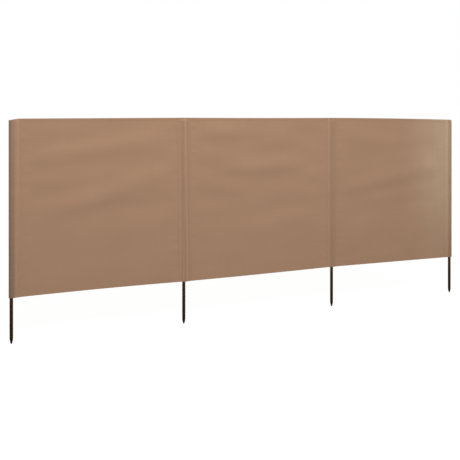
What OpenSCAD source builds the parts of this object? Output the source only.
// Beach windbreak: three bays of cloth held up by four poles in sewn sleeves.
// Sizes are in millimetres. The origin is the small flat that ends the first pole's
// point, +X runs along the windbreak and +Z is up. The side towards -Y is the front.
// Sleeves, poles and points are numbered from the origin, 1 to 4, and bays 1 to 3.

/* [Overall] */
// Height from the tips of the poles to the top edge of the cloth
total_h = 1600; // [1000:10:2000]
// Height of the cloth, from its bottom edge to its top edge
cloth_h = 1270; // [700:10:1600]
// Distance between the centres of poles 1 and 2
bay_1_w = 1320; // [600:10:2000]
// Distance between the centres of poles 2 and 3
bay_2_w = 1360; // [600:10:2000]
// Distance between the centres of poles 3 and 4
bay_3_w = 1280; // [600:10:2000]

/* [Cloth] */
// Thickness of the cloth in a panel
cloth_t = 1; // [0.6:0.1:2]
// Width of the folded hem along the top and bottom edges
hem_w = 20; // [10:1:40]
// Thickness of the folded hem
hem_t = 2; // [1.2:0.1:4]

/* [Sleeves] */
// Width of a sleeve's pocket, between its two stitch lines or its fold and its stitch line
pocket_w = 70; // [60:1:120]
// Distance from the centre of pole 1 to the outer fold of its sleeve
fold_first = 19; // [18:1:36]
// Distance from an inner pole's centre to the stitch line on its side towards the origin
stitch_near = 29; // [22:1:36]
// Distance from the last pole's centre to the outer fold of its sleeve
fold_last = 28; // [18:1:36]
// Width of the flat sewn seam outside each stitch line
seam_w = 20; // [3:0.5:30]
// Thickness of one layer of a sleeve
sleeve_t = 1; // [0.6:0.1:2]
// Height of the sewn strip that closes a sleeve above its pole
closing_h = 18; // [4:1:30]

/* [Poles] */
// Outer diameter of a pole
pole_d = 25; // [16:1:32]
// Wall of the steel tube
pole_wall = 0.8; // [0.6:0.1:2]
// Length of the rounded point
point_l = 45; // [20:1:90]
// Diameter of the small flat at the end of the point
point_flat_d = 8; // [3:0.5:12]
// Length of the shank that holds the point in the tube
shank_l = 30; // [10:1:60]
// Thickness of the cap over the upper end of the tube
cap_t = 3; // [2:0.5:6]
// Length of the cap's plug inside the tube
plug_l = 15; // [8:1:30]

/* [Clearances] */
// Gap between a pole and the cloth around it
sleeve_gap = 0.3; // [0.2:0.1:2]
// Gap between the tube's bore and the shank or plug inside it
bore_gap = 0.15; // [0.1:0.05:0.5]

/* [Hidden] */
$fn = 64;
BAYS = [1, 2, 3];
POLES = [1, 2, 3, 4];
bay_w = [bay_1_w, bay_2_w, bay_3_w];
cloth_z0 = total_h - cloth_h;
sleeve_in_r = pole_d / 2 + sleeve_gap;
sleeve_r = sleeve_in_r + sleeve_t;
flank_lean = 0.99;
bore_d = pole_d - 2 * pole_wall;
plug_d = bore_d - 2 * bore_gap;
cap_top_z = total_h - closing_h - sleeve_gap;
pole_top_z = cap_top_z - cap_t;
// The point's side is an arc that leaves the pole straight down and ends at the flat.
point_taper = (pole_d - point_flat_d) / 2;
point_arc_r = (point_l * point_l + point_taper * point_taper) / (2 * point_taper);
cloth_color = "#9e7e65";
pole_color = "#43290c";
cap_color = "#2a2623";

// Distance of pole i from pole 1: the widths of the bays before it, added up.
function pole_x(i) = i == 1 ? 0 : pole_x(i - 1) + bay_w[i - 2];

// How far sleeve i reaches from its pole's centre to its near and far stitch line or fold.
function near(i) =
    i == POLES[0] ? fold_first
    : i == POLES[len(POLES) - 1] ? pocket_w - fold_last
    : stitch_near;
function far(i) = pocket_w - near(i);

// Where the cloth of bay b starts and ends, at the outer edges of the two seams.
function bay_x0(b) = pole_x(b) + far(b) + seam_w;
function bay_x1(b) = pole_x(b + 1) - near(b + 1) - seam_w;

// The point where the line from (a, 0) touches a circle of radius r around the pole.
function touch(a, r) = [r * r / a, r * sqrt(1 - r * r / (a * a))];

// Outline of a taut pocket: a round pole spreads two layers that meet at -a and +b. The
// layers head for a slightly smaller circle, so that they cut the round cleanly.
module pocket_outline(a, b, r) {
    ta = touch(a, r * flank_lean);
    tb = touch(b, r * flank_lean);
    circle(r);
    polygon([
        [-a, 0], [-ta[0], -ta[1]], [tb[0], -tb[1]],
        [b, 0], [tb[0], tb[1]], [-ta[0], ta[1]]
    ]);
}

// Steel tube, open at both ends for the point and the cap.
module pole(i) {
    color(pole_color)
    translate([pole_x(i), 0, point_l])
    difference() {
        cylinder(h = pole_top_z - point_l, d = pole_d);
        translate([0, 0, -1])
        cylinder(h = pole_top_z - point_l + 2, d = bore_d);
    }
}

// Turned point with a round taper and a flat end, and the shank that goes up the tube.
module point(i) {
    color(pole_color)
    translate([pole_x(i), 0, 0])
    union() {
        rotate_extrude()
        intersection() {
            square([pole_d / 2, point_l]);
            translate([pole_d / 2 - point_arc_r, point_l])
            circle(point_arc_r);
        }
        translate([0, 0, point_l])
        cylinder(h = shank_l, d = plug_d);
    }
}

// Plastic cap on the upper end of the tube, with its plug.
module cap(i) {
    color(cap_color)
    translate([pole_x(i), 0, pole_top_z])
    union() {
        cylinder(h = cap_t, d = pole_d);
        translate([0, 0, -plug_l])
        cylinder(h = plug_l, d = plug_d);
    }
}

// Outline of a sleeve from its side: straight up, then drawn in to the sewn top edge.
module side_outline() {
    polygon([
        [-sleeve_r, 0], [sleeve_r, 0], [sleeve_r, cloth_h - closing_h],
        [hem_t / 2, cloth_h], [-hem_t / 2, cloth_h], [-sleeve_r, cloth_h - closing_h]
    ]);
}

// Pocket of two layers around the pole, closed at the top, with a flat seam on each side
// that carries on into a panel. An end sleeve has a fold there and no seam.
module sleeve(i) {
    a = near(i);
    b = far(i);
    inner = sleeve_in_r / sleeve_r;
    seam_x0 = i == POLES[0] ? 0 : -a - seam_w;
    seam_x1 = i == POLES[len(POLES) - 1] ? 0 : b + seam_w;
    color(cloth_color)
    translate([pole_x(i), 0, cloth_z0])
    difference() {
        intersection() {
            union() {
                linear_extrude(cloth_h) pocket_outline(a, b, sleeve_r);
                translate([seam_x0, -cloth_t / 2, 0])
                cube([seam_x1 - seam_x0, cloth_t, cloth_h]);
            }
            translate([-a - seam_w - 1, 0, 0])
            rotate([90, 0, 90])
            linear_extrude(a + b + 2 * seam_w + 2)
            side_outline();
        }
        translate([0, 0, -1])
        linear_extrude(cloth_h - closing_h + 1)
        pocket_outline(a * inner, b * inner, sleeve_in_r);
    }
}

// Single layer of cloth between the seams of two sleeves and between the two hems.
module panel(b) {
    color(cloth_color)
    translate([bay_x0(b), -cloth_t / 2, cloth_z0 + hem_w])
    cube([bay_x1(b) - bay_x0(b), cloth_t, cloth_h - 2 * hem_w]);
}

// Folded hem strip of bay b with its lower edge at height z.
module hem(b, z) {
    color(cloth_color)
    translate([bay_x0(b), -hem_t / 2, z])
    cube([bay_x1(b) - bay_x0(b), hem_t, hem_w]);
}

for (i = POLES) {
    pole(i);
    point(i);
    cap(i);
    sleeve(i);
}
for (b = BAYS) {
    panel(b);
    hem(b, total_h - hem_w);
    hem(b, cloth_z0);
}
